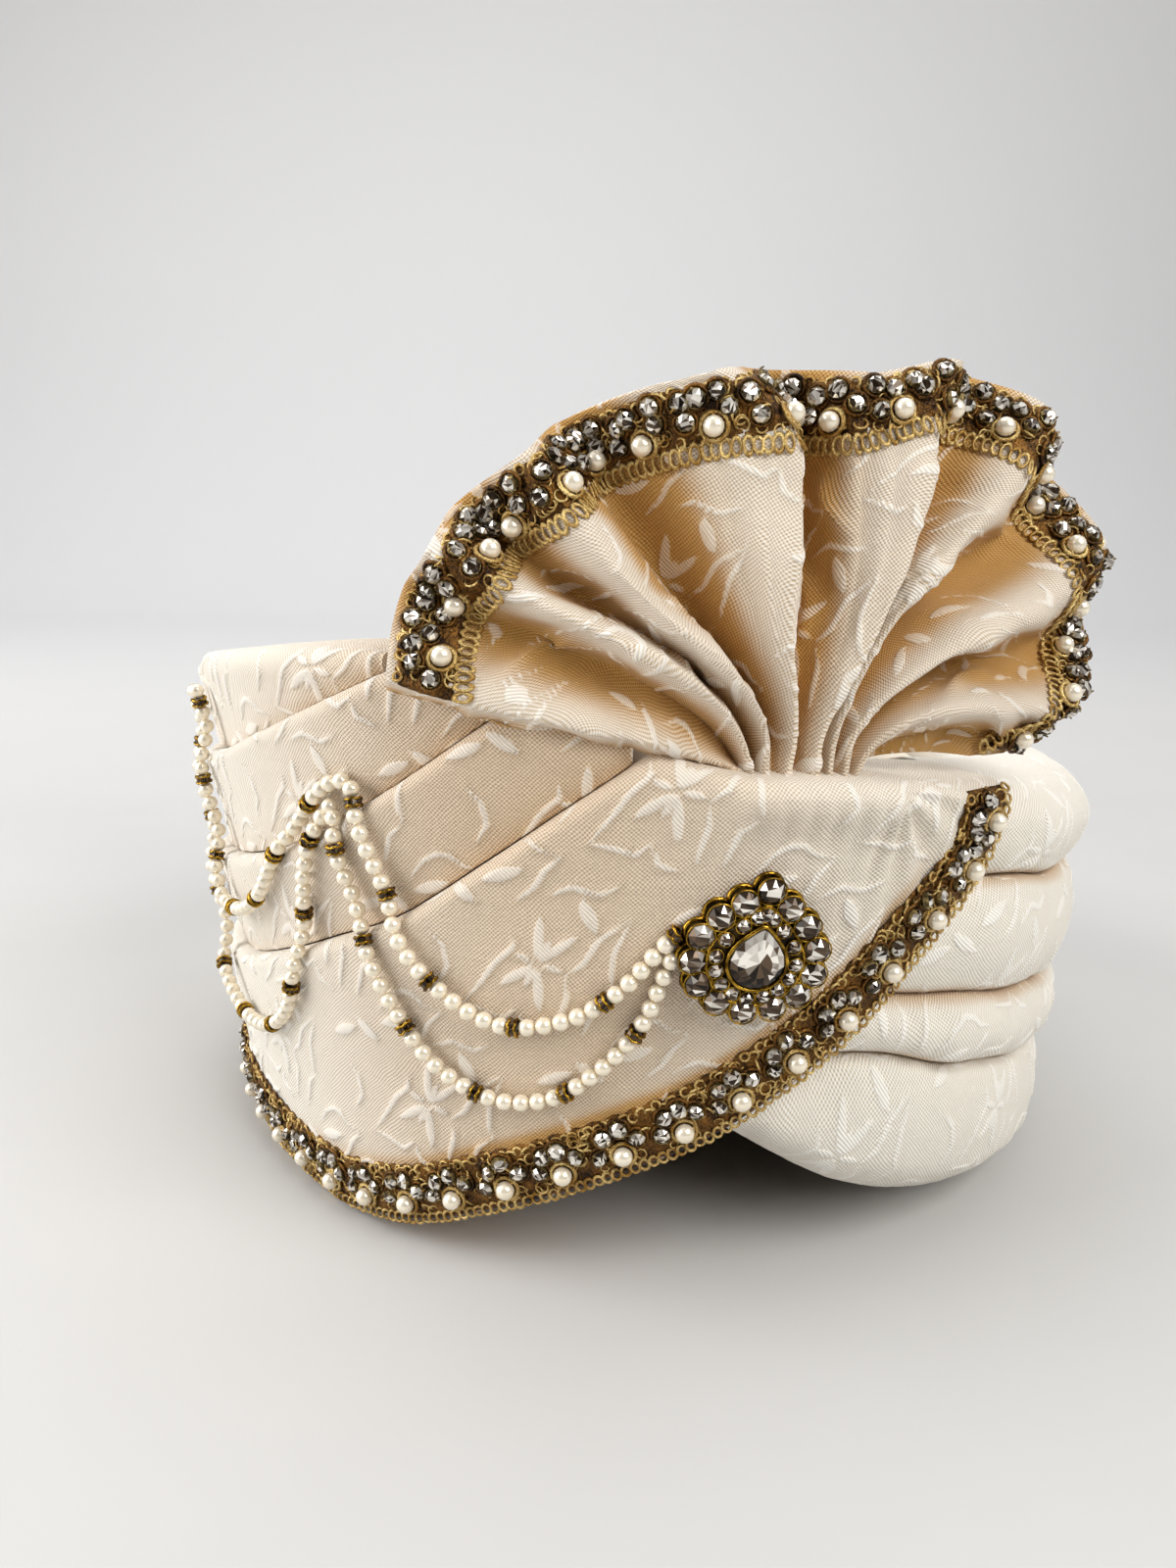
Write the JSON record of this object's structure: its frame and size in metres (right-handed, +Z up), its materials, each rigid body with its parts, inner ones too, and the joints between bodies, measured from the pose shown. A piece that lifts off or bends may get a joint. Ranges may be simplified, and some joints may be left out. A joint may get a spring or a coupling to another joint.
{
  "type": "ready-tied turban with pleated fan",
  "caption": "Ready-tied ceremonial turban of cream jacquard cloth with padded folds, a pleated fan, jewelled gold edging, a stone brooch and swags of pearls.",
  "frame": {"origin": "on the resting surface, under the middle of the bounding box", "axes": "+Z up; -Y the way the wearer faces; +X the wearer's left side, which is the right of the picture"},
  "size_m": [0.2506, 0.2858, 0.1943],
  "materials": {
    "jacquard_cloth": "woven, matte",
    "cap_cloth": "woven, matte",
    "gold_lace": "metallic thread",
    "gilt_metal": "polished gilt",
    "crystal": "faceted, foiled",
    "pearl": "pearlescent"
  },
  "bodies": {
    "root": {"crown": "cap_cloth", "front_fold": "jacquard_cloth", "middle_fold": "jacquard_cloth", "upper_fold": "jacquard_cloth", "top_fold": "jacquard_cloth", "fan": "jacquard_cloth", "fan_trim": "gold_lace", "wrap_trim": "gold_lace", "brooch": "gilt_metal", "brooch_stone": "crystal", "strand_upper": "pearl", "strand_lower": "pearl"}
  },
  "joints": []
}
